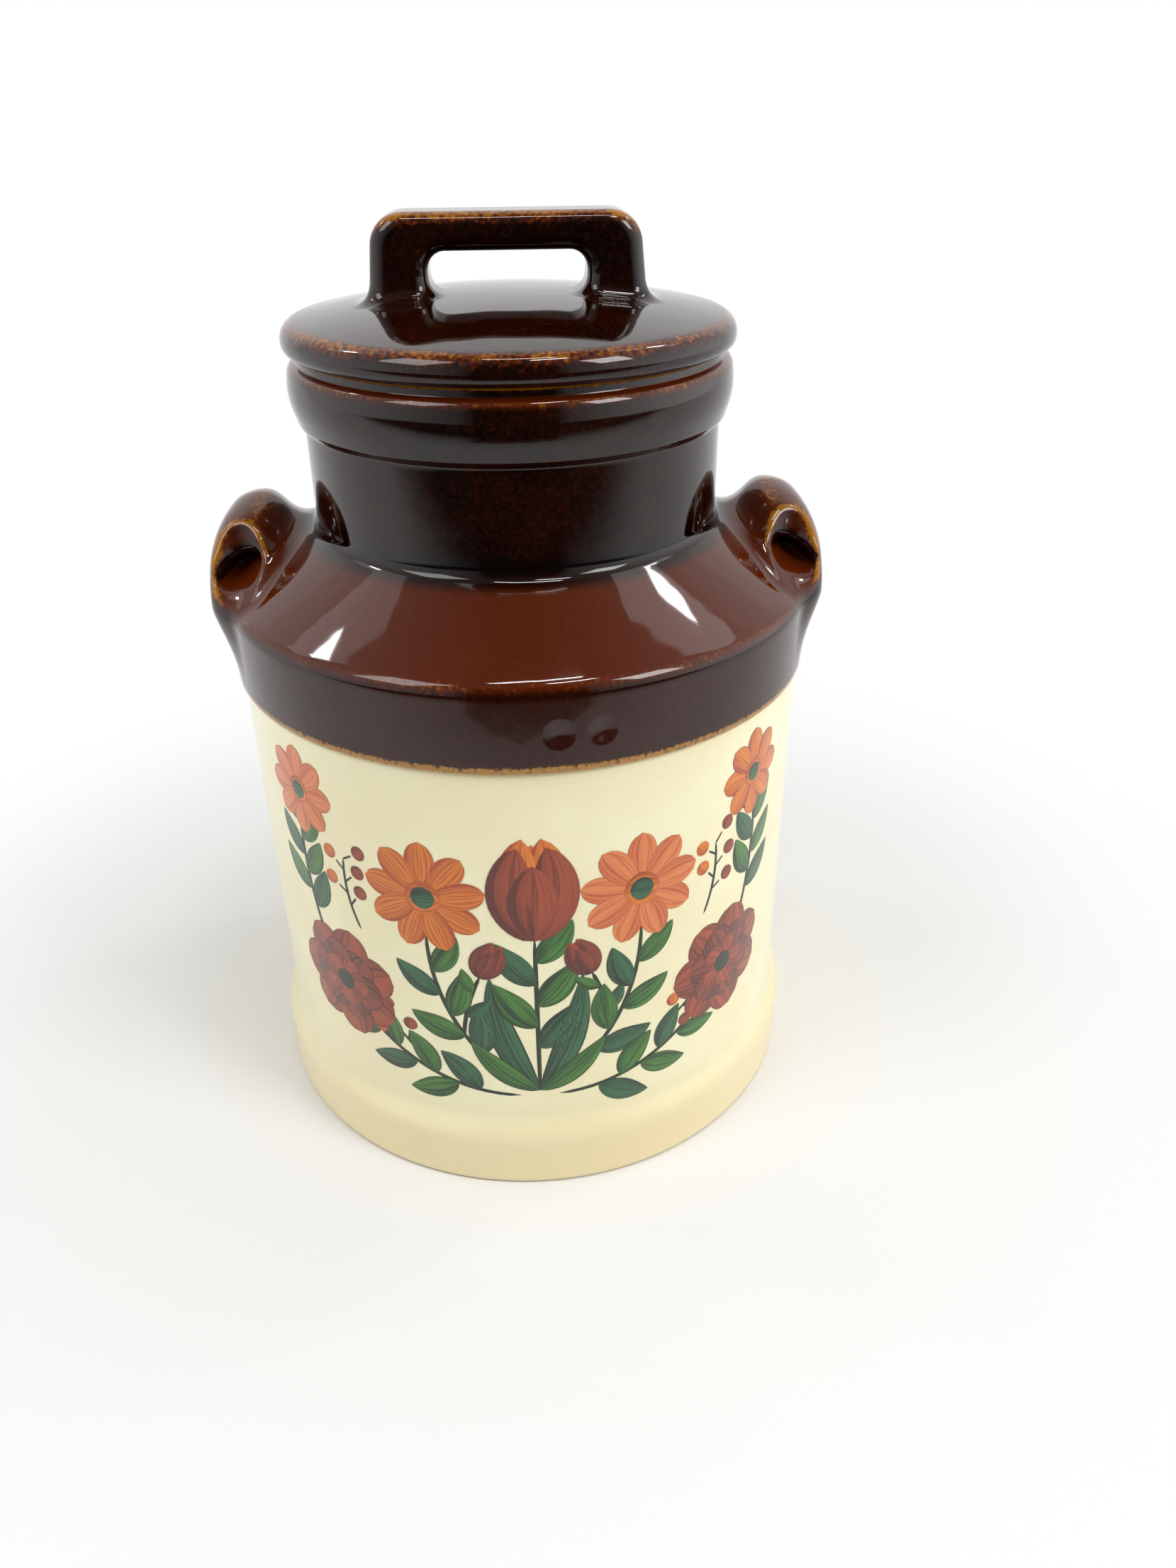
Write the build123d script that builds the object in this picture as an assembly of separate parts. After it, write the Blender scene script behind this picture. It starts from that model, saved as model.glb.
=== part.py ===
from build123d import *
import math
import os

# A two-tone stoneware canister in the shape of a milk can, in millimetres.
# The origin is the middle of the foot, on the surface that the jar stands on. +Z is up,
# the ears and the lid's handle lie along X, and the front faces -Y.
# Heights are lengths of their own, added up from the table, so each can change by itself.

# Lower body
body_height = 160.6
body_radius = 93.4
body_wall = 7.0
floor_thickness = 9.0
inside_corner_rounding = 10.0

# Foot ring, a little wider than the body, with a shallow recess under the floor
foot_ring_proud = 3.8
foot_ring_height = 21.5
foot_step_height = 5.0
foot_step_rounding = 6.0
foot_edge_rounding = 1.6
foot_rim_width = 11.0
foot_recess_depth = 2.0
foot_recess_rounding = 1.0

# Brown band, which steps out over the body, and the shoulder above it
band_proud = 1.6
band_height = 26.0
band_lower_rounding = 1.4
shoulder_rise = 20.6
shoulder_rounding = 5.0
inside_shoulder_rounding = 9.0

# Neck, collar and lip
neck_radius = 64.0
neck_wall = 6.5
neck_height = 30.8
neck_foot_rounding = 3.5
collar_proud = 3.7
collar_height = 17.6
collar_lower_rounding = 2.4
collar_upper_rounding = 2.4
collar_crease_rounding = 0.5
lip_proud = 0.6
lip_height = 2.9
lip_rounding = 0.9

# Lid
lid_overhang = 3.6
lid_rim_height = 8.9
lid_rim_lower_rounding = 2.9
lid_rim_upper_rounding = 5.2
lid_dome_rise = 5.9
lid_thickness = 7.5
lid_clearance = 1.5
flange_depth = 12.0
flange_wall = 5.5
flange_rounding = 2.0
flange_root_rounding = 1.0

# Handle on the lid, an arch with a gap for the fingers
handle_rise = 21.6
handle_bar_height = 10.4
handle_top_width = 77.0
handle_foot_width = 83.0
handle_thickness = 20.0
handle_corner_rounding = 9.5
handle_edge_rounding = 4.6
finger_gap_width = 46.2
finger_gap_rounding = 5.0
handle_foot_rounding = 4.4

# Ears on the shoulder, broad at the foot and drawn up to a narrow crown
ear_reach = 4.0
ear_rise = 7.5
ear_foot_width = 66.0
ear_crown_width = 15.0
ear_crown_setback = 13.5
ear_crown_depth = 10.5
ear_neck_overlap = 2.0
ear_tail_depth = 20.6
ear_tail_sink = 1.2
ear_crown_rounding = 4.5

# Blind pocket in the front and in the back face of each ear
pocket_width = 15.0
pocket_height = 6.6
pocket_depth = 22.0
pocket_web = 18.0
pocket_inset = 12.2
pocket_rise = 11.0
pocket_tilt = 30.0
pocket_rim_rounding = 1.8

# Heights above the table
shoulder_corner = body_height + band_height
neck_foot = shoulder_corner + shoulder_rise
collar_bottom = neck_foot + neck_height
collar_top = collar_bottom + collar_height
lid_seat = collar_top + lip_height
lid_rim_top = lid_seat + lid_rim_height
lid_crown = lid_rim_top + lid_dome_rise
handle_top = lid_crown + handle_rise
ear_crown = neck_foot + ear_rise

# Radii about the jar's axis
inside_radius = body_radius - body_wall
foot_radius = body_radius + foot_ring_proud
band_radius = body_radius + band_proud
mouth_radius = neck_radius - neck_wall
collar_radius = neck_radius + collar_proud
lip_radius = neck_radius + lip_proud
lid_radius = lip_radius + lid_overhang
flange_radius = mouth_radius - lid_clearance
dome_radius = lid_radius - lid_rim_upper_rounding
ear_radius = band_radius + ear_reach

# The shoulder's cone, and how far its inside lies below its outside
cone_slope = shoulder_rise / (band_radius - neck_radius)
cone_drop = body_wall / math.cos(math.atan(cone_slope))


def cone_height(radius):
    """Height of the shoulder's outer cone at a radius."""
    return shoulder_corner + (band_radius - radius) * cone_slope


def outline_face(corners):
    """Face in the XZ plane from closed corners, each (radius, height, rounding)."""
    points = [(radius, height) for radius, height, _ in corners]
    roundings = [rounding for _, _, rounding in corners]
    with BuildSketch(Plane.XZ) as sketch:
        with BuildLine():
            FilletPolyline(*points, radius=roundings, close=True)
        make_face()
    return sketch.sketch


def turned(face):
    """A face in the XZ plane turned once about the jar's axis."""
    return revolve(face, axis=Axis.Z, revolution_arc=360)


def luted_on(piece, base, rounding):
    """Piece trimmed to the base it is luted on, with a flare of clay where they meet."""
    joined = piece + base
    flared = fillet(new_edges(piece, base, combined=joined), rounding)
    return max((flared - base).solids(), key=lambda solid: solid.volume)


def lower_body():
    """Cream body: a straight cylinder on a slightly wider foot ring."""
    rim_inner_radius = foot_radius - foot_rim_width
    return turned(outline_face([
        (0, foot_recess_depth, 0),
        (rim_inner_radius, foot_recess_depth, foot_recess_rounding),
        (rim_inner_radius, 0, foot_recess_rounding / 2),
        (foot_radius, 0, foot_edge_rounding),
        (foot_radius, foot_ring_height, foot_step_rounding),
        (body_radius, foot_ring_height + foot_step_height, foot_step_rounding),
        (body_radius, body_height, 0),
        (inside_radius, body_height, 0),
        (inside_radius, floor_thickness, inside_corner_rounding),
        (0, floor_thickness, 0),
    ]))


def shoulder_outside():
    """Outer corners of band, shoulder, neck, collar and lip, from the body up."""
    collar_middle = collar_bottom + collar_height / 2
    collar_taper = collar_proud / 3
    return [
        (band_radius, body_height, band_lower_rounding),
        (band_radius, shoulder_corner, shoulder_rounding),
        (neck_radius, neck_foot, neck_foot_rounding),
        (neck_radius, collar_bottom, collar_crease_rounding),
        (collar_radius - collar_taper, collar_bottom, collar_lower_rounding),
        (collar_radius, collar_middle, collar_height / 2),
        (collar_radius, collar_top, collar_upper_rounding),
        (lip_radius, collar_top, collar_crease_rounding),
        (lip_radius, lid_seat, lip_rounding),
    ]


def shoulder():
    """Brown band, shoulder, neck, collar and lip, open from the body to the mouth."""
    return turned(outline_face([
        (inside_radius, body_height, 0),
        *shoulder_outside(),
        (mouth_radius, lid_seat, lip_rounding),
        (mouth_radius, cone_height(mouth_radius) - cone_drop, inside_shoulder_rounding),
        (inside_radius, cone_height(inside_radius) - cone_drop, inside_shoulder_rounding),
    ]))


def filled_shoulder():
    """The shoulder's outer form filled to the axis, which the ears are trimmed to."""
    return turned(outline_face([
        (0, 0, 0),
        (body_radius, 0, 0),
        (body_radius, body_height, 0),
        *shoulder_outside(),
        (0, lid_seat, 0),
    ]))


def ear_section(share):
    """Level ellipse of the ear, share 0 at the shoulder's corner and 1 at the crown.

    Below the corner the share is negative, and the section sinks into the band there.
    """
    rise = max(share, 0)
    sink = max(-share, 0)
    swell = math.cos(rise * math.pi / 2)
    height = shoulder_corner + rise * (ear_crown - shoulder_corner) - sink * ear_tail_depth
    crown_outer = ear_radius - ear_crown_setback
    crown_inner = crown_outer - ear_crown_depth
    root_inner = neck_radius - ear_neck_overlap
    inner = root_inner + (crown_inner - root_inner) * rise ** 2
    outer = crown_outer + (ear_radius - crown_outer) * math.sqrt(1 - rise ** 3)
    outer = outer - (ear_reach + ear_tail_sink) * sink ** 2
    width = ear_crown_width + (ear_foot_width - ear_crown_width) * swell
    plane = Plane.XY.offset(height)
    return plane * Pos((inner + outer) / 2, 0) * Ellipse((outer - inner) / 2, width / 2)


def pocket():
    """Rounded core that leaves one blind pocket, in the ear's front face."""
    ball = Sphere(1).rotate(Axis.X, 90)
    core = scale(ball, by=(pocket_width / 2, pocket_depth, pocket_height / 2))
    core = core.rotate(Axis.Y, pocket_tilt)
    centre_x = ear_radius - pocket_inset
    centre_y = pocket_web / 2 + pocket_depth
    return core.moved(Location((centre_x, -centre_y, shoulder_corner + pocket_rise)))


def right_ear():
    """Ear with its two pockets, trimmed to the shoulder at +X."""
    shares = [-1, -0.45, 0.12, 0.38, 0.6, 0.8, 1]
    block = loft([ear_section(share) for share in shares])
    crown_edge = block.edges().sort_by(Axis.Z)[-1]
    block = fillet(crown_edge, ear_crown_rounding)
    front_pocket = pocket()
    back_pocket = front_pocket.mirror(Plane.XZ)
    hollowed = block - front_pocket - back_pocket
    rims = new_edges(block, front_pocket, back_pocket, combined=hollowed)
    softened = fillet(rims, pocket_rim_rounding)
    trimmed = softened - filled_shoulder()
    return max(trimmed.solids(), key=lambda solid: solid.volume)


def lid_outline(inner_corners):
    """Half section of the lid: dome, rounded rim and seat, closed by the inner corners."""
    dome_edge_slope = math.tan(2 * math.atan(lid_dome_rise / dome_radius))
    rim_corner = lid_rim_top - (lid_radius - dome_radius) * dome_edge_slope
    corners = [
        (lid_radius, rim_corner, lid_rim_upper_rounding),
        (lid_radius, lid_seat, lid_rim_lower_rounding),
        *inner_corners,
    ]
    points = [(radius, height) for radius, height, _ in corners]
    roundings = [rounding for _, _, rounding in corners[:-1]]
    with BuildSketch(Plane.XZ) as sketch:
        with BuildLine():
            dome = TangentArc((0, lid_crown), (dome_radius, lid_rim_top), tangent=(1, 0))
            rim = FilletPolyline(dome @ 1, *points, radius=roundings)
            Line(rim @ 1, dome @ 0)
        make_face()
    return sketch.sketch


def lid():
    """Lid with a hollow locating flange that hangs in the mouth with room to spare."""
    flange_bottom = lid_seat - flange_depth
    ceiling = lid_crown - lid_thickness
    flange_inner_radius = flange_radius - flange_wall
    return turned(lid_outline([
        (flange_radius, lid_seat, flange_root_rounding),
        (flange_radius, flange_bottom, flange_rounding),
        (flange_inner_radius, flange_bottom, flange_rounding),
        (flange_inner_radius, ceiling, flange_rounding),
        (0, ceiling, 0),
    ]))


def lid_handle():
    """Arch over the lid, soft along all its edges, luted on the dome."""
    root = (lid_seat + lid_rim_top) / 2
    gap_top = handle_top - handle_bar_height
    arch = outline_face([
        (-handle_foot_width / 2, root, 0),
        (-handle_top_width / 2, handle_top, handle_corner_rounding),
        (handle_top_width / 2, handle_top, handle_corner_rounding),
        (handle_foot_width / 2, root, 0),
        (finger_gap_width / 2, root, 0),
        (finger_gap_width / 2, gap_top, finger_gap_rounding),
        (-finger_gap_width / 2, gap_top, finger_gap_rounding),
        (-finger_gap_width / 2, root, 0),
    ])
    block = extrude(arch, amount=handle_thickness / 2, both=True)
    soft = fillet(block.faces().filter_by(Axis.Y).edges(), handle_edge_rounding)
    filled_lid = turned(lid_outline([(0, lid_seat, 0)]))
    return luted_on(soft, filled_lid, handle_foot_rounding)


ear = right_ear()
nodes = {
    "lower_body": lower_body(),
    "shoulder": shoulder(),
    "right_ear": ear,
    "left_ear": ear.mirror(Plane.YZ),
    "lid": lid(),
    "lid_handle": lid_handle(),
}

os.makedirs("parts", exist_ok=True)
for name, shape in nodes.items():
    export_step(shape, f"parts/{name}.step")
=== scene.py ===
import math

import bpy
import numpy as np
from mathutils import Matrix, Vector


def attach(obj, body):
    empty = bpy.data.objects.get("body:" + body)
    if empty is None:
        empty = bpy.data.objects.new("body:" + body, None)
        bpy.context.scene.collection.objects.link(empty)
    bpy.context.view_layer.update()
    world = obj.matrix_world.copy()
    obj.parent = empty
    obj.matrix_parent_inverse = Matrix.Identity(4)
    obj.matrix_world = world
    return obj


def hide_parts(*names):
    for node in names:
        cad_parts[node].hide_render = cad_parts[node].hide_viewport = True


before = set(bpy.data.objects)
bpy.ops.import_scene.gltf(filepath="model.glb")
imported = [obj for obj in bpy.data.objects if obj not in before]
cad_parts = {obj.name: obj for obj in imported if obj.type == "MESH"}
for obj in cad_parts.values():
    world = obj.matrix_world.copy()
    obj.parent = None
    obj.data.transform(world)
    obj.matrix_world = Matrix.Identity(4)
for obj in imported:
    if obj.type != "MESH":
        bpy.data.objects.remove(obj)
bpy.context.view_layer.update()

# Camera
# A phone held a little above the lid, close in front of the jar and turned a little to the right.
# Its wide lens makes the foot look narrower than the shoulder.
camera_place = (0.0, -0.3771, 0.3244)
camera_turn_right = math.radians(3.37)
camera_dip = math.radians(30.57)
camera_lean = math.radians(-0.55)
camera_lens = 27.03
camera_film_height = 36.0
camera_nearest = 0.01


def placed(name, data):
    """A new object in the scene."""
    thing = bpy.data.objects.new(name, data)
    bpy.context.collection.objects.link(thing)
    return thing


camera_film = bpy.data.cameras.new("phone")
camera_film.lens = camera_lens
camera_film.sensor_width = camera_film_height
camera_film.clip_start = camera_nearest
phone = placed("phone", camera_film)
phone.matrix_world = (
    Matrix.Translation(camera_place)
    @ Matrix.Rotation(-camera_turn_right, 4, "Z")
    @ Matrix.Rotation(math.pi / 2 - camera_dip, 4, "X")
    @ Matrix.Rotation(camera_lean, 4, "Z")
)
bpy.context.scene.camera = phone
bpy.context.scene.view_settings.view_transform = "Standard"


# Floor, backdrop and light
# A plain white studio sweep: one sheet that runs back from under the jar and bends up into a wall.
# The room is bright at its sides and behind, and dark above. Soft lamps of several sizes stand for
# windows, and black cards for the phone and the dark end of the table that the glaze mirrors.
sweep_half_width = 2.4
sweep_front = -2.0
sweep_back = 2.0
sweep_bend = 0.7
sweep_top = 3.0
sweep_steps = 24
sweep_white = (0.9, 0.9, 0.895)
sweep_roughness = 0.6
shadow_keeps_to = 0.12
white_starts_at = 0.36
room_middle = 0.1
room_sides = 1.4
room_behind = 0.6
room_behind_starts = 0.15
room_behind_full = 0.5
room_right_more = 0.2
card_black = (0.008, 0.008, 0.009)
card_roughness = 0.8
card_fades_from = 0.6
white = (1, 1, 1, 1)
jar_middle = Vector((0, 0, 0.2))


def srgb(red, green, blue):
    """A colour given in screen values from 0 to 255, as the shader wants it."""
    screen = np.array((red, green, blue)) / 255
    linear = np.where(screen <= 0.04045, screen / 12.92, ((screen + 0.055) / 1.055) ** 2.4)
    return (*linear, 1.0)


def add_node(tree, kind, inputs=None, **settings):
    """Adds a node. Each named or numbered input gets a socket to follow or a value to keep."""
    node = tree.nodes.new(kind)
    for name, value in settings.items():
        setattr(node, name, value)
    for name, value in (inputs or {}).items():
        if isinstance(value, bpy.types.NodeSocket):
            tree.links.new(value, node.inputs[name])
        else:
            node.inputs[name].default_value = value
    return node


def add_next(kind, inputs, **settings):
    """Adds a node to the tree that its inputs come from."""
    sockets = [value for value in inputs.values() if isinstance(value, bpy.types.NodeSocket)]
    return add_node(sockets[0].id_data, kind, inputs, **settings)


def result(kind, inputs, **settings):
    """Adds a node in the same way and gives its first output."""
    return add_next(kind, inputs, **settings).outputs[0]


def link(value, into):
    """Lets an input follow a value."""
    into.id_data.links.new(value, into)


def calc(operation, first, second=0.0):
    """One step of arithmetic in a tree."""
    return result("ShaderNodeMath", {0: first, 1: second}, operation=operation)


def times(first, second, plus=0.0):
    """A product in a tree, with something added to it."""
    return result("ShaderNodeMath", {0: first, 1: second, 2: plus}, operation="MULTIPLY_ADD")


def vector_calc(operation, first, second=(0, 0, 0)):
    """One step of vector arithmetic in a tree; gives a vector, or a length where that is asked."""
    node = add_next("ShaderNodeVectorMath", {0: first, 1: second}, operation=operation)
    return node.outputs["Value" if operation in ("LENGTH", "DISTANCE") else "Vector"]


def parts_of(vector):
    """The three numbers of a vector."""
    return add_next("ShaderNodeSeparateXYZ", {0: vector}).outputs


def object_place(tree):
    """Each place on a piece, in a material."""
    return add_node(tree, "ShaderNodeTexCoord").outputs["Object"]


def ramp(value, low, high):
    """A smooth step from 0 at low to 1 at high."""
    return result("ShaderNodeMapRange", {
        "Value": value, "From Min": low, "From Max": high,
    }, interpolation_type="SMOOTHSTEP")


def new_material(name, **shader_values):
    """A material with one Principled shader; gives its tree and its shader too."""
    material = bpy.data.materials.new(name)
    material.use_nodes = True
    shader = material.node_tree.nodes["Principled BSDF"]
    for socket, value in shader_values.items():
        shader.inputs[socket.replace("_", " ")].default_value = value
    return material, material.node_tree, shader


sweep_line = [(sweep_front, 0.0), (sweep_back - sweep_bend, 0.0)]
for step in range(1, sweep_steps + 1):
    turn = math.pi / 2 * step / sweep_steps
    sweep_line.append((
        sweep_back - sweep_bend + sweep_bend * math.sin(turn),
        sweep_bend - sweep_bend * math.cos(turn),
    ))
sweep_line.append((sweep_back, sweep_top))
sweep_mesh = bpy.data.meshes.new("studio_sweep")
sweep_mesh.from_pydata(
    [(side, y, z) for y, z in sweep_line for side in (-sweep_half_width, sweep_half_width)],
    [],
    [(2 * row, 2 * row + 1, 2 * row + 3, 2 * row + 2) for row in range(len(sweep_line) - 1)],
)
sweep_mesh.shade_smooth()
sweep_paper, paper_tree, paper_shader = new_material(
    "white_paper", Base_Color=(*sweep_white, 1), Roughness=sweep_roughness,
)
paper_reach = vector_calc("LENGTH", object_place(paper_tree))
paper_far = ramp(paper_reach, shadow_keeps_to, white_starts_at)
paper_ray = add_node(paper_tree, "ShaderNodeLightPath").outputs
paper_seen = 0.0
for ray_kind in ("Is Glossy Ray", "Is Transmission Ray", "Is Camera Ray"):
    paper_seen = calc("MAXIMUM", paper_seen, paper_ray[ray_kind])
paper_glow = add_node(paper_tree, "ShaderNodeEmission", {"Color": white, "Strength": 1.0})
paper_mix = result("ShaderNodeMixShader", {
    0: times(paper_far, paper_seen), 1: paper_shader.outputs[0], 2: paper_glow.outputs[0],
})
link(paper_mix, paper_tree.nodes["Material Output"].inputs["Surface"])
sweep_mesh.materials.append(sweep_paper)
sweep = placed("studio_sweep", sweep_mesh)

room = bpy.data.worlds.new("white_room")
room.use_nodes = True
bpy.context.scene.world = room
room_tree = room.node_tree
room_towards = add_node(room_tree, "ShaderNodeTexCoord").outputs["Generated"]
room_x, room_y, _ = parts_of(room_towards)
room_right = times(room_x, room_right_more, plus=1.0)
room_sideways = times(times(room_x, room_x), room_right)
room_behind_here = ramp(room_y, room_behind_starts, room_behind_full)
room_backwards = times(room_behind_here, room_behind)
room_share = calc("MAXIMUM", room_sideways, room_backwards)
room_strength = times(room_share, room_sides - room_middle, plus=room_middle)
room_ray = add_node(room_tree, "ShaderNodeLightPath").outputs
room_seen = calc("MAXIMUM", room_strength, room_ray["Is Camera Ray"])
room_background = room_tree.nodes["Background"]
room_background.inputs["Color"].default_value = white
link(room_seen, room_background.inputs["Strength"])


def soft_lamp(name, place, width, height, power):
    """A rectangular soft box that faces the jar."""
    light = bpy.data.lights.new(name, "AREA")
    light.shape = "RECTANGLE"
    light.size = width
    light.size_y = height
    light.energy = power
    lamp = placed(name, light)
    lamp.location = place
    lamp.rotation_euler = (jar_middle - Vector(place)).to_track_quat("-Z", "Y").to_euler()


for lamp_name, lamp_place, lamp_width, lamp_height, lamp_power in (
    ("window_left", (-0.75, -0.45, 1.15), 0.5, 0.6, 3.9),
    ("window_right", (0.8, -0.6, 1.0), 0.4, 0.5, 5.4),
    ("skylight", (0.27, -0.4, 1.45), 0.3, 0.07, 1.8),
    ("ceiling_lamp", (0.05, -0.215, 1.49), 0.5, 0.035, 1.5),
    ("far_window_left", (-0.77, 0.32, 1.07), 0.2, 0.5, 0.26),
    ("far_window_right", (0.69, 0.25, 1.16), 0.2, 0.5, 0.4),
    ("bulb_left", (-0.77, 0.28, 1.0), 0.06, 0.1, 0.4),
    ("bulb_right", (0.68, 0.28, 1.1), 0.06, 0.12, 0.5),
):
    soft_lamp(lamp_name, lamp_place, lamp_width, lamp_height, lamp_power)


def dark_card(name, centre, half_sizes):
    """A black card with soft edges that only shows in what the glaze mirrors."""
    across, along_it = [axis for axis in range(3) if half_sizes[axis]]
    corners = []
    for side, end in ((-1, -1), (1, -1), (1, 1), (-1, 1)):
        corner = list(centre)
        corner[across] += side * half_sizes[across]
        corner[along_it] += end * half_sizes[along_it]
        corners.append(corner)
    mesh = bpy.data.meshes.new(name)
    mesh.from_pydata(corners, [], [range(len(corners))])
    black, tree, shader = new_material(name, Base_Color=(*card_black, 1), Roughness=card_roughness)
    offset = vector_calc("SUBTRACT", object_place(tree), centre)
    shares = [1 / half if half else 0 for half in half_sizes]
    share = vector_calc("MULTIPLY", offset, shares)
    away = parts_of(vector_calc("ABSOLUTE", share))
    furthest = calc("MAXIMUM", away[across], away[along_it])
    link(ramp(furthest, 1.0, card_fades_from), shader.inputs["Alpha"])
    mesh.materials.append(black)
    card = placed(name, mesh)
    card.visible_camera = card.visible_diffuse = card.visible_shadow = False
    card.visible_transmission = card.visible_volume_scatter = False


dark_card("card_before_table", (0, -1.25, 0.004), (2.6, 1.0, 0))
dark_card("card_at_phone", (0.01, -0.42, 0.31), (0.2, 0, 0.4))


# Cream part of the jar
# Thrown stoneware: a straight wall on a slightly wider foot ring, under a speckled cream glaze.
# The inside is glazed brown, and the foot is wiped to bare clay. Lengths are now in millimetres.
body_height = 160.6
body_radius = 93.4
inside_radius = 86.4
floor_thickness = 9.0
foot_radius = 97.2
foot_ring_height = 21.5
foot_step_height = 5.0
foot_rim_width = 11.0
foot_recess = 2.0
cream_steps_around = 224
cream_ring_spacing = 1.6
arc_steps = 16
foot_bare_below = 0.6
clay_grain_size = 0.7
clay_grain_depth = 0.15
millimetre = 0.001
wheel_guide_radius = millimetre
weld_distance = millimetre / 100


def rounded(corners):
    """Points of an outline through corners (radius, height, rounding), each rounded by an arc."""
    points = []
    count = len(corners)
    for index, (radius, height, rounding) in enumerate(corners):
        corner = np.array((radius, height), float)
        if rounding == 0:
            points.append(corner)
            continue
        before = corners[index - 1][:2] - corner
        after = corners[(index + 1) % count][:2] - corner
        before = before / np.linalg.norm(before)
        after = after / np.linalg.norm(after)
        half_angle = math.acos(before @ after) / 2
        reach = rounding / math.tan(half_angle)
        middle = (before + after) / np.linalg.norm(before + after)
        centre = corner + middle * rounding / math.sin(half_angle)
        start = corner + before * reach - centre
        end = corner + after * reach - centre
        sweep_angle = math.pi - 2 * half_angle
        for share in np.linspace(0, 1, arc_steps):
            first = math.sin((1 - share) * sweep_angle)
            last = math.sin(share * sweep_angle)
            points.append(centre + (first * start + last * end) / math.sin(sweep_angle))
    return np.array(points)


def new_tree(name, inputs):
    """An empty Geometry Nodes tree with its inputs by name, and one geometry output."""
    tree = bpy.data.node_groups.new(name, "GeometryNodeTree")
    tree.is_modifier = True
    for label, kind in inputs.items():
        tree.interface.new_socket(label, in_out="INPUT", socket_type="NodeSocket" + kind)
    tree.interface.new_socket("Geometry", in_out="OUTPUT", socket_type="NodeSocketGeometry")
    return tree, tree.nodes.new("NodeGroupInput").outputs, tree.nodes.new("NodeGroupOutput").inputs


def grown(name, seed_mesh, tree, **values):
    """Runs a Geometry Nodes tree on a mesh and gives the finished object, a plain mesh."""
    seed = placed(name + "_seed", seed_mesh)
    modifier = seed.modifiers.new("grow", "NODES")
    modifier.node_group = tree
    for item in tree.interface.items_tree:
        key = item.name.replace(" ", "_")
        if item.in_out == "INPUT" and key in values:
            modifier[item.identifier] = values[key]
    seed.update_tag()
    finished = seed.evaluated_get(bpy.context.evaluated_depsgraph_get())
    mesh = bpy.data.meshes.new_from_object(finished)
    mesh.name = name
    bpy.data.objects.remove(seed)
    return placed(name, mesh)


def chain(geometry, *steps):
    """A geometry that goes through nodes in turn, each with the inputs that it has besides."""
    for kind, entrance, others in steps:
        geometry = result("GeometryNode" + kind, {entrance: geometry, **others})
    return geometry


wheel, wheel_in, wheel_out = new_tree("turned_on_the_wheel", {
    "Half section": "Geometry",
    "Steps around": "Int",
    "Ring spacing": "Float",
    "Guide radius": "Float",
    "Glaze": "Material",
})
wheel_x, _, wheel_z = parts_of(add_node(wheel, "GeometryNodeInputPosition").outputs[0])
wheel_profile = result("ShaderNodeCombineXYZ", {
    "X": calc("SUBTRACT", wheel_x, wheel_in["Guide radius"]),
    "Y": times(wheel_z, -1.0),
})
wheel_line = chain(
    wheel_in["Half section"],
    ("SetPosition", "Geometry", {"Position": wheel_profile}),
    ("MeshToCurve", "Mesh", {}),
)
wheel_even = result("GeometryNodeResampleCurve", {
    "Curve": wheel_line, "Length": wheel_in["Ring spacing"],
}, mode="LENGTH")
wheel_circle = result("GeometryNodeCurvePrimitiveCircle", {
    "Resolution": wheel_in["Steps around"], "Radius": wheel_in["Guide radius"],
})
wheel_glazed = chain(
    wheel_circle,
    ("CurveToMesh", "Curve", {"Profile Curve": wheel_even}),
    ("MergeByDistance", "Geometry", {"Distance": weld_distance}),
    ("SetShadeSmooth", "Geometry", {}),
    ("RealizeInstances", "Geometry", {}),
    ("SetMaterial", "Geometry", {"Material": wheel_in["Glaze"]}),
)
link(wheel_glazed, wheel_out["Geometry"])


def turned(name, steps_around, ring_spacing, glaze, corners, closed=False):
    """A piece turned about the jar's axis from the rounded corners of its half section."""
    outline = rounded(corners) * millimetre
    count = len(outline)
    edges = [(index, index + 1) for index in range(count - 1)]
    if closed:
        edges.append((count - 1, 0))
    half_section = bpy.data.meshes.new(name + "_half_section")
    half_section.from_pydata([(radius, 0, height) for radius, height in outline], edges, [])
    return grown(
        name, half_section, wheel, Steps_around=steps_around,
        Ring_spacing=ring_spacing * millimetre, Guide_radius=wheel_guide_radius, Glaze=glaze,
    )


def ramp_between(value, low, high):
    """A ramp between two lengths in millimetres."""
    return ramp(value, low * millimetre, high * millimetre)


def noise(place, size, detail):
    """Cloudy noise from 0 to 1, whose patches are about size across."""
    return result("ShaderNodeTexNoise", {"Vector": place, "Scale": 1 / size, "Detail": detail})


def kiln_marks(tree, ripple_size, cloud_size, speck_spacing, speck_radius, speck_share):
    """What the kiln leaves in every glaze: soft ripples, cloudy patches and small iron specks.

    The sizes are in millimetres. The share is of the places that could have a speck.
    """
    place = object_place(tree)
    specks = add_next("ShaderNodeTexVoronoi", {
        "Vector": place, "Scale": 1 / (speck_spacing * millimetre),
    }).outputs
    dot_here = calc("LESS_THAN", specks["Distance"], speck_radius / speck_spacing)
    picked = result("ShaderNodeSeparateColor", {0: specks["Color"]})
    speck = times(dot_here, calc("LESS_THAN", picked, speck_share))
    ripple = noise(place, ripple_size * millimetre, detail=1.0)
    cloud = noise(place, cloud_size * millimetre, detail=4.0)
    return ripple, ramp(cloud, *cloud_edges), speck


def mixed(share, first, second):
    """One colour over another by a mask."""
    return add_next("ShaderNodeMix", {
        "Factor": share, 6: first, 7: second,
    }, data_type="RGBA").outputs[2]


def layered(colour, *layers):
    """Colours laid over one another, each by its mask and the share of it that shows."""
    for mask, share, over in layers:
        colour = mixed(times(mask, share), colour, over)
    return colour


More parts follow.
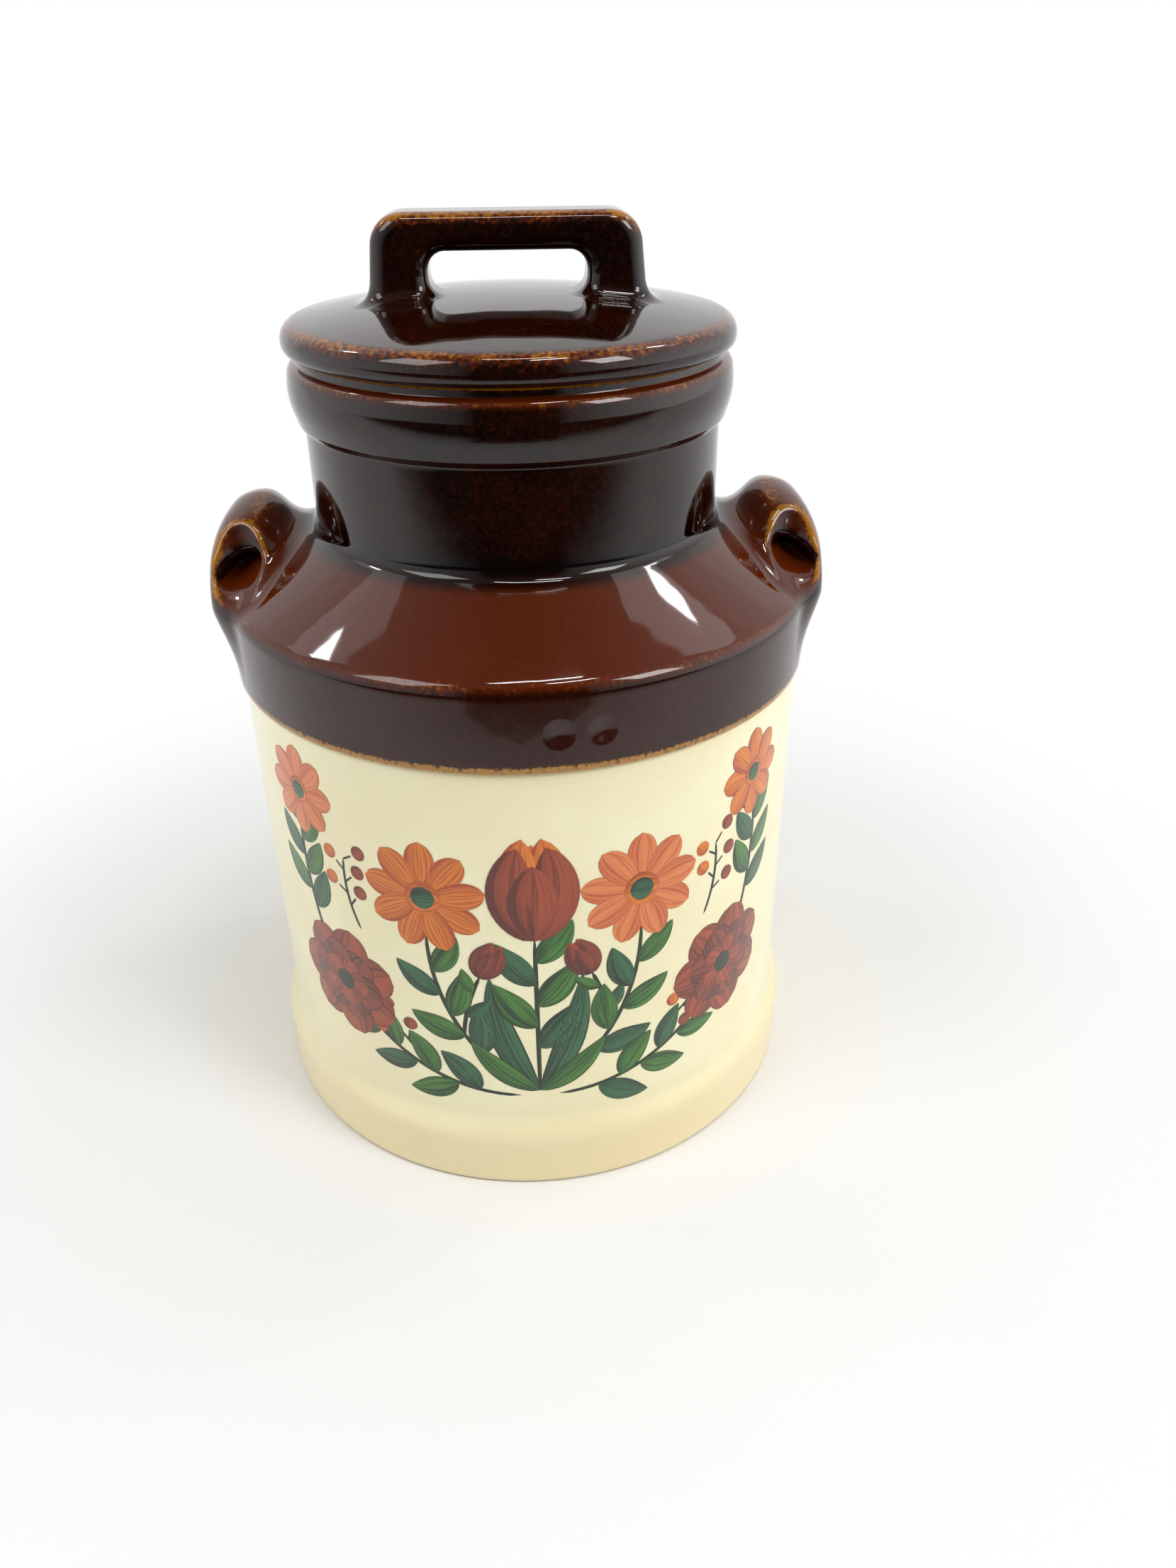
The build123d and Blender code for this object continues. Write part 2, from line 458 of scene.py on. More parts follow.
def add_bump(shader, height, depth):
    """Lets a height from 0 to 1 stand as a relief of that depth in millimetres."""
    bump = result("ShaderNodeBump", {"Height": height, "Distance": depth * millimetre})
    link(bump, shader.inputs["Normal"])


cream_light = srgb(251, 246, 206)
cream_warm = srgb(241, 222, 172)
cream_iron = srgb(190, 150, 96)
cream_clouds_show = 0.32
# The cream turns warmer towards the foot, by a share, from the upper height down to the lower
cream_low_warmth_shows = 0.8
cream_low_warmth_top = 36.0
cream_low_warmth_full = 12.0
cream_specks_show = 0.5
ripple_depth = 0.1
cloud_edges = (0.35, 0.65)
cream_kiln = {
    "ripple_size": 9.0, "cloud_size": 38.0, "speck_spacing": 1.7, "speck_radius": 0.17, "speck_share": 0.2,
}
cream_glaze, cream_tree, cream_shader = new_material(
    "cream_glaze", Roughness=0.24, IOR=1.5, Coat_Weight=0.2, Coat_Roughness=0.08,
)
cream_ripple, cream_cloud, cream_specks = kiln_marks(cream_tree, **cream_kiln)
_, _, cream_z = parts_of(object_place(cream_tree))
cream_low_warmth = ramp_between(cream_z, cream_low_warmth_top, cream_low_warmth_full)
cream_colour = layered(
    cream_light,
    (cream_cloud, cream_clouds_show, cream_warm),
    (cream_low_warmth, cream_low_warmth_shows, cream_warm),
    (cream_specks, cream_specks_show, cream_iron),
)
link(cream_colour, cream_shader.inputs["Base Color"])
add_bump(cream_shader, cream_ripple, ripple_depth)

cream_wall = turned("cream_wall", cream_steps_around, cream_ring_spacing, cream_glaze, [
    (0, floor_thickness, 0),
    (inside_radius, floor_thickness, 10),
    (inside_radius, body_height, 0),
    (body_radius, body_height, 0),
    (body_radius, foot_ring_height + foot_step_height, 6),
    (foot_radius, foot_ring_height, 6),
    (foot_radius, 0, 1.6),
    (foot_radius - foot_rim_width, 0, 0.5),
    (foot_radius - foot_rim_width, foot_recess, 1),
    (0, foot_recess, 0),
])

clay_light = srgb(214, 188, 148)
clay_dark = srgb(184, 154, 114)
foot_clay, clay_tree, clay_shader = new_material("bare_clay", Roughness=0.85)
clay_grain = noise(object_place(clay_tree), clay_grain_size * millimetre, detail=3.0)
clay_colour = mixed(clay_grain, clay_light, clay_dark)
link(clay_colour, clay_shader.inputs["Base Color"])
add_bump(clay_shader, clay_grain, clay_grain_depth)


def read(items, field, width, kind=np.float32):
    """What a mesh's points, edges or faces hold in a field, a row for each of them."""
    values = np.empty(len(items) * width, kind)
    items.foreach_get(field, values)
    return values.reshape(-1, width)


def coat_faces(piece, coat, chosen):
    """Gives another material to the faces that are chosen by their middle's radius and height."""
    mesh = piece.data
    x, y, z = read(mesh.polygons, "center", 3).T / millimetre
    coats = read(mesh.polygons, "material_index", 1, np.int32).ravel()
    coats[chosen(np.hypot(x, y), z)] = len(mesh.materials)
    mesh.materials.append(coat)
    mesh.polygons.foreach_set("material_index", coats)


coat_faces(cream_wall, foot_clay, lambda radius, height: (
    (radius > foot_radius - foot_rim_width) & (height < foot_bare_below)
))
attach(cream_wall, "jar")
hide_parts("lower_body")


# Brown part of the jar
# The same fired wall above the cream, dipped in a thick brown glaze: band, sloping shoulder, neck,
# collar and lip. The glaze thins to amber where the wall turns outwards, and to ochre at its edge.
band_radius = 95.0
shoulder_corner = 186.6
neck_radius = 64.0
neck_foot = 207.2
collar_bottom = 238.0
collar_middle = 247.0
collar_top = 255.9
collar_root_radius = 65.6
collar_radius = 68.3
collar_top_radius = 67.0
lip_radius = 64.6
lid_seat = 258.5
mouth_radius = 57.5
wall_thickness = 7.0
cone_slope = (neck_foot - shoulder_corner) / (band_radius - neck_radius)
cone_drop = wall_thickness / math.cos(math.atan(cone_slope))
inside_margin = 0.5
brown_steps_around = 320
brown_ring_spacing = 1.0

# Dark brown of thick glaze, also its painted shade; warm brown of thin glaze, also its painted light
brown_thick_and_shaded = srgb(7, 2, 1)
brown_warm_and_lit = srgb(89, 32, 4)
brown_amber = srgb(162, 104, 15)
brown_ochre = srgb(172, 122, 50)
fleck_size = 1.3
fleck_middle = 0.5
fleck_unevenness = 0.16
cloud_unevenness = 0.03
# How warm what faces up is drawn above and below the lid: thin glaze and painted light from above
thin_and_lit_least = 0.04
thin_and_lit_more_below_lid = 0.7
facing_up = (0.15, 0.75)
cloud_warms = 0.08
mottle_warms = 0.2
mottled = (0.4, 0.8)
band_warms = 0.18
band_warm_from = 182.0
# Painted shade in the neck's crease: full within the first distance, gone past the second, and its depth
crease_shade_starts = 2.5
crease_shade_ends = 7.5
crease_shade_darkens = 0.9
red_edge = (0.05, 0.11)
amber_edge = (0.085, 0.15)
amber_shows = 0.9
brown_specks_show = 0.25
glaze_line_height = 2.4
glaze_line_waver = 2.2
glaze_line_softness = 0.5
glaze_line_worn = (0.2, 0.5)
edge_gain_upwards = 1.15
edge_gain_upright = -0.05
edge_gain_least = 0.1
wall_softening = 2
dent_radius = 5.0
dent_depth = 0.9
dent_centres = ((9.0, -94.6, 173.0), (21.0, -92.6, 173.0))


def places_of(mesh):
    """Places of a mesh's points as rows, in millimetres."""
    return read(mesh.vertices, "co", 3).astype(float) / millimetre


def normals_of(mesh):
    """Normals of a mesh's points as rows."""
    return read(mesh.vertex_normals, "vector", 3).astype(float)


def mark_turn(piece, softening, share=None):
    """Keeps on each point how sharply the surface turns outwards there, per millimetre.

    Glaze runs off what faces up, so an edge counts less the more it faces down, and by a share
    that the piece may give for each place. How far each point faces up is kept too.
    """
    mesh = piece.data
    places = places_of(mesh)
    normals = normals_of(mesh)
    first, last = read(mesh.edges, "vertices", 2, np.int32).T
    along = places[last] - places[first]
    bend = ((normals[last] - normals[first]) * along).sum(1) / (along ** 2).sum(1)
    count = len(places)
    degree = np.bincount(first, minlength=count) + np.bincount(last, minlength=count)
    turn_here = (np.bincount(first, bend, count) + np.bincount(last, bend, count)) / degree
    for _ in range(softening):
        spread = np.bincount(first, turn_here[last], count) + np.bincount(last, turn_here[first], count)
        turn_here = (turn_here + spread / degree) / 2
    upward = normals[:, 2]
    turn_here = turn_here * np.clip(edge_gain_upwards * upward + edge_gain_upright, edge_gain_least, 1)
    if share:
        turn_here = turn_here * share(*places.T)
    for name, values in (("turn", turn_here), ("upward", upward)):
        marked = mesh.attributes.new(name, "FLOAT", "POINT")
        marked.data.foreach_set("value", values.astype(np.float32))


def carried(tree, name, output="Fac"):
    """What the mesh carries under a name, in a material."""
    return add_node(tree, "ShaderNodeAttribute", attribute_name=name).outputs[output]


brown_glaze, brown_tree, brown_shader = new_material(
    "brown_glaze", Roughness=0.05, IOR=1.48, Coat_Weight=0.1, Coat_Roughness=0.02,
)
brown_ripple, brown_cloud, brown_specks = kiln_marks(
    brown_tree, ripple_size=12.0, cloud_size=30.0, speck_spacing=0.9, speck_radius=0.14, speck_share=0.3,
)
brown_place = object_place(brown_tree)
_, _, brown_z = parts_of(brown_place)
brown_fleck = noise(brown_place, fleck_size * millimetre, detail=4.0)
brown_off_middle = calc("SUBTRACT", brown_fleck, fleck_middle)
brown_uneven = times(brown_off_middle, fleck_unevenness, plus=carried(brown_tree, "turn"))
brown_uneven = times(brown_cloud, cloud_unevenness, plus=brown_uneven)

# The glaze is warmer where it lies thin: in flecks and on the band. What faces up below the lid is
# drawn warm too, partly for thin glaze and partly as painted light from above that the cone catches.
brown_below_lid = ramp_between(brown_z, lid_seat + 1, lid_seat - 1)
brown_thin_and_lit = times(brown_below_lid, thin_and_lit_more_below_lid, plus=thin_and_lit_least)
brown_upward = ramp(carried(brown_tree, "upward"), *facing_up)
brown_warmth_light_and_shade = times(brown_thin_and_lit, brown_upward)
for brown_mask, brown_share in (
    (brown_cloud, cloud_warms),
    (ramp(brown_fleck, *mottled), mottle_warms),
    (ramp_between(brown_z, shoulder_corner, band_warm_from), band_warms),
):
    brown_warmth_light_and_shade = times(brown_mask, brown_share, plus=brown_warmth_light_and_shade)

# Painted shade: the glaze is darker in the crease at the neck's foot, which lies in shade and mirrors dark
brown_flat = vector_calc("MULTIPLY", brown_place, (1, 1, 0))
brown_section = result("ShaderNodeCombineXYZ", {
    "X": vector_calc("LENGTH", brown_flat), "Z": brown_z,
})
neck_crease = (neck_radius * millimetre, 0, neck_foot * millimetre)
brown_crease = vector_calc("DISTANCE", brown_section, neck_crease)
brown_crease_shade = ramp_between(brown_crease, crease_shade_ends, crease_shade_starts)
brown_warmth_light_and_shade = times(brown_warmth_light_and_shade, times(brown_crease_shade, -crease_shade_darkens, plus=1.0))

# Where it ends on the cream it leaves a worn ochre line
brown_line_edge = times(brown_fleck, -glaze_line_waver * millimetre, plus=brown_z)
brown_line_top = body_height + glaze_line_height - glaze_line_waver / 2
brown_line = ramp_between(
    brown_line_edge, brown_line_top + glaze_line_softness, brown_line_top - glaze_line_softness,
)
brown_line_left = times(brown_line, ramp(brown_fleck, *glaze_line_worn))
brown_colour = layered(
    brown_thick_and_shaded,
    (brown_warmth_light_and_shade, 1.0, brown_warm_and_lit),
    (ramp(brown_uneven, *red_edge), 1.0, brown_warm_and_lit),
    (ramp(brown_uneven, *amber_edge), amber_shows, brown_amber),
    (brown_specks, brown_specks_show, brown_warm_and_lit),
    (brown_line_left, 1.0, brown_ochre),
)
link(brown_colour, brown_shader.inputs["Base Color"])

# Two shallow dents that a fingertip left side by side in the band
brown_relief = times(brown_ripple, ripple_depth)
for dent_centre in dent_centres:
    dent_middle = [value * millimetre for value in dent_centre]
    dent_away = vector_calc("DISTANCE", brown_place, dent_middle)
    dent_fill = ramp_between(dent_away, 0.0, dent_radius)
    brown_relief = times(dent_fill, dent_depth, plus=brown_relief)
add_bump(brown_shader, brown_relief, 1.0)

shoulder_outside = [
    (band_radius, body_height, 1.4),
    (band_radius, shoulder_corner, 5),
    (neck_radius, neck_foot, 3.5),
    (neck_radius, collar_bottom, 0.5),
    (collar_root_radius, collar_bottom, 1.6),
    (collar_radius, collar_middle, 20),
    (collar_top_radius, collar_top, 3.2),
    (lip_radius, collar_top, 0.3),
    (lip_radius, lid_seat, 0.9),
]


def cone_height(radius):
    """Height of the shoulder's outer cone at a radius."""
    return shoulder_corner + (band_radius - radius) * cone_slope


coat_faces(cream_wall, brown_glaze, lambda radius, height: (
    (radius < inside_radius + inside_margin) & (height > floor_thickness - inside_margin)
))
brown_wall = turned("brown_wall", brown_steps_around, brown_ring_spacing, brown_glaze, [
    (inside_radius, cone_height(inside_radius) - cone_drop, 9),
    (mouth_radius, cone_height(mouth_radius) - cone_drop, 9),
    (mouth_radius, lid_seat, 0.9),
    *reversed(shoulder_outside),
    (inside_radius, body_height, 0),
], closed=True)
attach(brown_wall, "jar")
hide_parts("shoulder")


# Ears
# Two lugs like those of a milk can, pressed in a mould and luted on the shoulder before firing.
# Each is a slab round the outside that slopes to the neck, with a blind pocket in each end.
ear_radius = 99.5
ear_crown = 216.3
ear_crown_outer = 79.0
ear_roundness = 1.85
ear_fullness = 2.25
ear_tail_depth = 20.6
ear_tail_sink = 12.0
ear_tail_sinks_to = 1.2
ear_tail_bend = 1.5
ear_lowest = 162.0
ear_half_length = 32.5
ear_ridge_low = 186.0
ear_ridge_high = 217.0
ear_ridge_fullness = 1.43
ear_ridge_reach = 79.5
ear_ridge_softness = 3.0
ear_inner_slope = 1.1
ear_edge_softness = 6.0
ear_cheek_place = (79.0, 27.0, 199.0)
ear_cheek_facing = (-0.61, 0.7, 0.37)
ear_cheek_softness = 2.4
ear_luting = 7.5
ear_edge_gain = 1.05
ear_edge_fades = 2.5
ear_softening = 9
ear_box = ((-46, 46), (160, 220))
slot_tilt = math.radians(31)
slot_centre = (86.5, 27.0, 197.0)
slot_half_sizes = (6.8, 15.0, 3.4)
slot_softness = 5.0
dish_centre = (87.0, 199.0)
dish_half_sizes = (9.6, 12.0)
dish_above_face = 4.0
dish_half_depth = 8.2
dish_softness = 2.4
skin_share = 0.88
skin_sink = 0.06
skin_depth = 1.2
skin_sink_starts = 2.0
skin_sink_grows = 0.1
clay_cell = 0.7
settling_steps = 4
least_steepness = 0.25
on_wall = 0.2
shoulder_cut_off = 100.0
probe = 0.05
least_slope_squared = 1e-9
pull_steps = 12
pull_most = 0.5


def blended(first, second, reach):
    """The nearer of two distances, with a soft change from one to the other."""
    closeness = np.maximum(reach - np.abs(first - second), 0) / reach
    return np.minimum(first, second) - closeness ** 2 * reach / 4


def carved(form, hollow, reach):
    """A form with a hollow taken out of it, and a soft edge between them."""
    return -blended(-form, hollow, reach)


def outline_distance(outline, across, height):
    """Distance to a closed outline, less than 0 inside it."""
    nearest = np.full(across.shape, np.inf)
    inside = np.zeros(across.shape, bool)
    for start, end in zip(outline, np.roll(outline, -1, 0)):
        run = end - start
        length = run @ run
        if length == 0:
            continue
        share = np.clip(((across - start[0]) * run[0] + (height - start[1]) * run[1]) / length, 0, 1)
        gap = (across - start[0] - share * run[0]) ** 2 + (height - start[1] - share * run[1]) ** 2
        nearest = np.minimum(nearest, gap)
        if run[1] != 0:
            crosses = (start[1] > height) != (end[1] > height)
            side = start[0] + (height - start[1]) * run[0] / run[1]
            inside ^= crosses & (across < side)
    return np.where(inside, -1, 1) * np.sqrt(nearest)


def slope_of(level, x, y, z):
    """How a level changes along x, y and z at each place."""
    here = level(x, y, z)
    steps = (level(x + probe, y, z), level(x, y + probe, z), level(x, y, z + probe))
    return here, [(step - here) / probe for step in steps]


def distance_of(level, x, y, z):
    """A level turned into a distance that is right close to where it is 0."""
    here, slopes = slope_of(level, x, y, z)
    return here / np.sqrt(sum(slope ** 2 for slope in slopes) + least_slope_squared)


shoulder_solid = rounded([
    (0, shoulder_cut_off, 0),
    (body_radius, shoulder_cut_off, 0),
    (body_radius, body_height, 0),
    *shoulder_outside[:4],
    (0, collar_bottom, 0),
])


def shoulder_distance(x, y, z):
    """Distance to the outside of the shoulder that the ears are luted on."""
    return outline_distance(shoulder_solid, np.hypot(x, y), z)


def ear_outer_level(x, y, z):
    """Below 0 inside the ear's outer face, which runs round the jar and closes over the crown."""
    rise = np.maximum((z - shoulder_corner) / (ear_crown - shoulder_corner), 0)
    sink = np.clip((shoulder_corner - z) / ear_tail_depth, 0, ear_tail_sinks_to) ** ear_tail_bend
    reach = np.maximum(np.hypot(x, y) - ear_crown_outer + ear_tail_sink * sink, 0)
    return (reach / (ear_radius - ear_crown_outer)) ** ear_roundness + rise ** ear_fullness - 1


def ear_end_level(x, y, z):
    """Below 0 between the ear's two ends and under the slope from its ridge to the neck."""
    inwards = ear_ridge_reach - x
    lean = ear_inner_slope * (inwards + np.hypot(inwards, ear_ridge_softness)) / 2
    rise = np.maximum(z + lean - ear_ridge_low, 0) / (ear_ridge_high - ear_ridge_low)
    return (np.abs(y) / ear_half_length) ** ear_ridge_fullness + rise ** 2 - 1


def ear_cheek(x, y, z):
    """Distance to the steep face at each end of the ear that looks at the neck."""
    offsets = (x - ear_cheek_place[0], np.abs(y) - ear_cheek_place[1], z - ear_cheek_place[2])
    return sum(offset * facing for offset, facing in zip(offsets, ear_cheek_facing))


def slot_level(x, y, z):
    """Below 0 inside the deep slot in each end, whose outer side hangs down."""
    out = x - slot_centre[0]
    up = z - slot_centre[2]
    along_slot = out * math.cos(slot_tilt) - up * math.sin(slot_tilt)
    over_slot = out * math.sin(slot_tilt) + up * math.cos(slot_tilt)
    offsets = (along_slot, np.abs(y) - slot_centre[1], over_slot)
    return np.sqrt(sum((offset / half) ** 2 for offset, half in zip(offsets, slot_half_sizes))) - 1


def dish_level(x, y, z):
    """Below 0 inside the shallow dish round the slot, as deep everywhere from the end's face."""
    out_of_face = distance_of(ear_end_level, x, y, z) - dish_above_face
    across = (x - dish_centre[0]) / dish_half_sizes[0]
    upwards = (z - dish_centre[1]) / dish_half_sizes[1]
    return np.sqrt(across ** 2 + upwards ** 2 + (out_of_face / dish_half_depth) ** 2) - 1


def ear_form(x, y, z):
    """Distance to the bare ears, which mirror each other, with their pockets."""
    x = np.abs(x)
    outer = distance_of(ear_outer_level, x, y, z)
    ends = distance_of(ear_end_level, x, y, z)
    form = carved(outer, -ends, ear_edge_softness)
    form = carved(form, -ear_cheek(x, y, z), ear_cheek_softness)
    form = carved(form, distance_of(dish_level, x, y, z), dish_softness)
    return carved(form, distance_of(slot_level, x, y, z), slot_softness)


def luted(form, base, luting, lowest=-math.inf):
    """How a form stands on a base, with a flare of clay between them.

    Gives the distance to the skin over both, and the distance to the form's own clay: its skin
    over the base, out to where the flare is thin.
    """
    def skin(x, y, z):
        return blended(form(x, y, z), base(x, y, z), luting)

    def clay(x, y, z):
        here = form(x, y, z)
        under = base(x, y, z)
        cut = np.maximum(np.maximum(here - skin_share * luting, -(under + skin_depth)), lowest - z)
        return np.maximum(blended(here, under, luting), cut)

    return skin, clay


ear_skin, ear_clay = luted(ear_form, shoulder_distance, ear_luting, ear_lowest)


def facing_of(skin, places):
    """The direction in which a skin faces at each place."""
    _, slopes = slope_of(skin, *places.T)
    facing = np.stack(slopes, 1)
    return facing / np.linalg.norm(facing, axis=1)[:, None]


def skinned(name, distance, skin, low, high, cell, glaze):
    """A mesh on the surface where a distance is 0, one point in each cell that it passes.

    It is shaded by the skin, so that it meets what it is luted on without a crease.
    """
    counts = [int(round((top - bottom) / cell)) + 1 for bottom, top in zip(low, high)]
    lines = [bottom + cell * np.arange(count) for bottom, count in zip(low, counts)]
    field = distance(*np.meshgrid(*lines, indexing="ij"))
    cells = np.array(counts) - 1
    total = np.zeros((*cells, 3))
    crossings = np.zeros(tuple(cells), int)
    quads = []
    for axis in range(3):
        others = [(axis + 1) % 3, (axis + 2) % 3]
        low_side = np.take(field, range(counts[axis] - 1), axis)
        high_side = np.take(field, range(1, counts[axis]), axis)
        at = np.argwhere((low_side < 0) != (high_side < 0))
        for other in others:
            at = at[(at[:, other] > 0) & (at[:, other] < cells[other])]
        below = low_side[tuple(at.T)]
        above = high_side[tuple(at.T)]
        place = at.astype(float)
        place[:, axis] += below / (below - above)
        around = []
        for shift_first, shift_last in ((1, 1), (0, 1), (0, 0), (1, 0)):
            cell_at = at.copy()
            cell_at[:, others[0]] -= shift_first
            cell_at[:, others[1]] -= shift_last
            spot = tuple(cell_at.T)
            np.add.at(total, spot, place)
            np.add.at(crossings, spot, 1)
            around.append(np.ravel_multi_index(spot, tuple(cells)))
        around = np.stack(around, 1)
        outwards = (below < 0)[:, None]
        quads.append(np.where(outwards, around, around[:, ::-1]))
    used = np.flatnonzero(crossings)
    number = np.full(crossings.size, -1)
    number[used] = np.arange(len(used))
    points = total.reshape(-1, 3)[used] / crossings.reshape(-1)[used][:, None]
    points = points * cell + np.array(low)
    for _ in range(settling_steps):
        here, slopes = slope_of(distance, *points.T)
        slope = np.stack(slopes, 1)
        steep = np.maximum((slope ** 2).sum(1), least_steepness)
        points = points - np.clip(here / steep, -cell / 2, cell / 2)[:, None] * slope
    mesh = bpy.data.meshes.new(name)
    mesh.from_pydata(points * millimetre, [], number[np.concatenate(quads)])
    mesh.shade_smooth()
    mesh.normals_split_custom_set_from_vertices(facing_of(skin, points))
    mesh.materials.append(glaze)
    return placed(name, mesh)


def draw_out(piece, skin, form, base, luting):
    """Pulls the points of a wall out to the flare round what is luted on it, just under the skin."""
    mesh = piece.data
    places = places_of(mesh)
    normals = normals_of(mesh)
    near = np.flatnonzero((np.abs(base(*places.T)) < on_wall) & (form(*places.T) < luting))
    start = places[near]
    moved = start.copy()
    covered = np.maximum(skin_share * luting - form(*start.T) - skin_sink_starts, 0)
    under = skin_sink + skin_sink_grows * covered
    for _ in range(pull_steps):
        lift = np.clip(-skin(*moved.T) - under, -pull_most, pull_most)
        moved = moved + normals[near] * lift[:, None]
    far = np.clip(((moved - start) * normals[near]).sum(1), 0, luting / 4)
    places[near] = start + normals[near] * far[:, None]
    mesh.vertices.foreach_set("co", (places * millimetre).astype(np.float32).ravel())
    mesh.update()
    shaded = normals_of(mesh)
    shaded[near] = facing_of(skin, places[near])
    mesh.normals_split_custom_set_from_vertices(shaded)


def ear_thinning(x, y, z):
    """How much more the glaze thins on the ear's edges than on a turned edge; 0 on the flare."""
    return ear_edge_gain * np.clip(1 - ear_form(x, y, z) / ear_edge_fades, 0, 1)


for ear_name, ear_node, ear_across in (
    ("ear_right", "right_ear", (60, 102)),
    ("ear_left", "left_ear", (-102, -60)),
):
    ear_low, ear_high = zip(ear_across, *ear_box)
    ear = skinned(ear_name, ear_clay, ear_skin, ear_low, ear_high, clay_cell, brown_glaze)
    mark_turn(ear, ear_softening, ear_thinning)
    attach(ear, "jar")
    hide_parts(ear_node)
draw_out(brown_wall, ear_skin, ear_form, shoulder_distance, ear_luting)
mark_turn(brown_wall, wall_softening)


# Lid
# A low dome with a rounded rim, turned in one piece with the flange that hangs in the mouth.
# It lies loose on the lip and lifts off.
lid_radius = 68.2
lid_rim_top = 267.4
lid_dome_rise = 5.9
dome_radius = 63.0
lid_ceiling = 265.8
flange_radius = 56.0
flange_inner_radius = 50.5
flange_bottom = 246.5
dome_steps = 40

dome_ball = (dome_radius ** 2 + lid_dome_rise ** 2) / (2 * lid_dome_rise)
dome_line = [
    (radius, lid_rim_top + lid_dome_rise - dome_ball + math.sqrt(dome_ball ** 2 - radius ** 2), 0)
    for radius in np.linspace(0, dome_radius, dome_steps)
]
dome_edge_slope = math.tan(2 * math.atan(lid_dome_rise / dome_radius))
lid_rim_corner = lid_rim_top - (lid_radius - dome_radius) * dome_edge_slope
lid_cover = turned("lid_cover", brown_steps_around, brown_ring_spacing, brown_glaze, [
    *dome_line,
    (lid_radius, lid_rim_corner, 5.2),
    (lid_radius, lid_seat, 2.9),
    (flange_radius, lid_seat, 1),
    (flange_radius, flange_bottom, 2),
    (flange_inner_radius, flange_bottom, 2),
    (flange_inner_radius, lid_ceiling, 2),
    (0, lid_ceiling, 0),
])
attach(lid_cover, "lid")
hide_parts("lid")


# Handle on the lid
# A bar bent into a flat arch, soft along all its edges, luted on the dome with a flare of clay
# round each foot.
handle_top = 294.9
handle_top_width = 77.0
handle_foot_width = 83.0
handle_thickness = 20.0
handle_edge_rounding = 4.6
handle_luting = 6.0
handle_softening = 3
handle_edge_fades = 2.0
handle_low = (-52, -20, 262)
handle_high = (52, 20, 297)
finger_gap_width = 46.2
finger_gap_top = 284.5
handle_root = (lid_seat + lid_rim_top) / 2

handle_arch = rounded([
    (-handle_foot_width / 2, handle_root, 0),
    (-handle_top_width / 2, handle_top, 9.5),
    (handle_top_width / 2, handle_top, 9.5),
    (handle_foot_width / 2, handle_root, 0),
    (finger_gap_width / 2, handle_root, 0),
    (finger_gap_width / 2, finger_gap_top, 5),
    (-finger_gap_width / 2, finger_gap_top, 5),
    (-finger_gap_width / 2, handle_root, 0),
])


def dome_distance(x, y, z):
    """Distance to the dome that the handle stands on."""
    ball_height = lid_rim_top + lid_dome_rise - dome_ball
    return np.sqrt(x ** 2 + y ** 2 + (z - ball_height) ** 2) - dome_ball


def bar_form(x, y, z):
    """Distance to the bare arch."""
    side = outline_distance(handle_arch, x, z) + handle_edge_rounding
    face = np.abs(y) - handle_thickness / 2 + handle_edge_rounding
    corner = np.hypot(np.maximum(side, 0), np.maximum(face, 0))
    return corner + np.minimum(np.maximum(side, face), 0) - handle_edge_rounding


handle_skin, handle_clay = luted(bar_form, dome_distance, handle_luting)


def bar_share(x, y, z):
    """1 on the arch itself, 0 on the flare round its feet."""
    return np.clip(1 - bar_form(x, y, z) / handle_edge_fades, 0, 1)


lid_grip = skinned("lid_grip", handle_clay, handle_skin, handle_low, handle_high, clay_cell, brown_glaze)
mark_turn(lid_grip, handle_softening, bar_share)
draw_out(lid_cover, handle_skin, bar_form, dome_distance, handle_luting)
mark_turn(lid_cover, wall_softening)
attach(lid_grip, "lid")
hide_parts("lid_handle")


# Painted flowers
# A printed transfer round the front of the cream wall, fired on under the last glaze: folk flowers
# in rust, orange and green, every petal and leaf one brush stroke with the marks of its hairs.
paint_clearance = 0.05
paint_layer = 0.02
stroke_steps_along = 17
stroke_steps_across = 7
stem_width = 1.5
almost_half_turn = math.pi - 1e-4
hair_shuffle = (731.0, 419.0, 907.0)
hair_spacing = (0.9, 6.5, 1.0)
leaf_lean = 48
leaf_slimness = 0.46
leaf_bend = 22
leaf_shrinks = 0.25
daisy_tilt = 90
daisy_fullness = 2.2
daisy_heart = 0.3
daisy_eye = 0.2
rosette_tilt = 20
rosette_fullness = 2.6
rosette_turn = 25
rosette_bend = 14
rosette_heart = 0.18
tulip_slimness = 0.42
tulip_curl = 1.6
sprig_width = 1.05
berry_lean = 50
berry_twig = 4.0
berry_twig_width = 0.75
berry_reach = 5.0
berry_size = 5.2

# The belly and the point of each kind of stroke: a belly over 1 lies past its middle, and the
# smaller the point, the blunter the ends
stem_shape = (1.0, 0.12)
leaf_shape = (0.85, 0.8)
blade_shape = (0.9, 0.8)
petal_shape = (1.6, 0.55)
full_petal_shape = (1.5, 0.5)
cup_shape = (1.0, 0.65)
dab_shape = (1.0, 0.5)

paints = {
    "rust": (srgb(164, 70, 36), srgb(96, 34, 20)),
    "brick": (srgb(138, 58, 40), srgb(70, 24, 18)),
    "orange": (srgb(226, 126, 32), srgb(168, 66, 20)),
    "salmon": (srgb(228, 132, 74), srgb(190, 84, 40)),
    "leaf": (srgb(70, 126, 44), srgb(18, 50, 22)),
    "fern": (srgb(52, 104, 66), srgb(14, 40, 26)),
    "ink": (srgb(34, 52, 22), srgb(16, 26, 14)),
}

brush, brush_in, brush_out = new_tree("brush_strokes", {
    "Strokes": "Geometry",
    "Steps along": "Int",
    "Steps across": "Int",
    "Wall radius": "Float",
    "Clearance": "Float",
    "Layer thickness": "Float",
    "Paint": "Material",
})


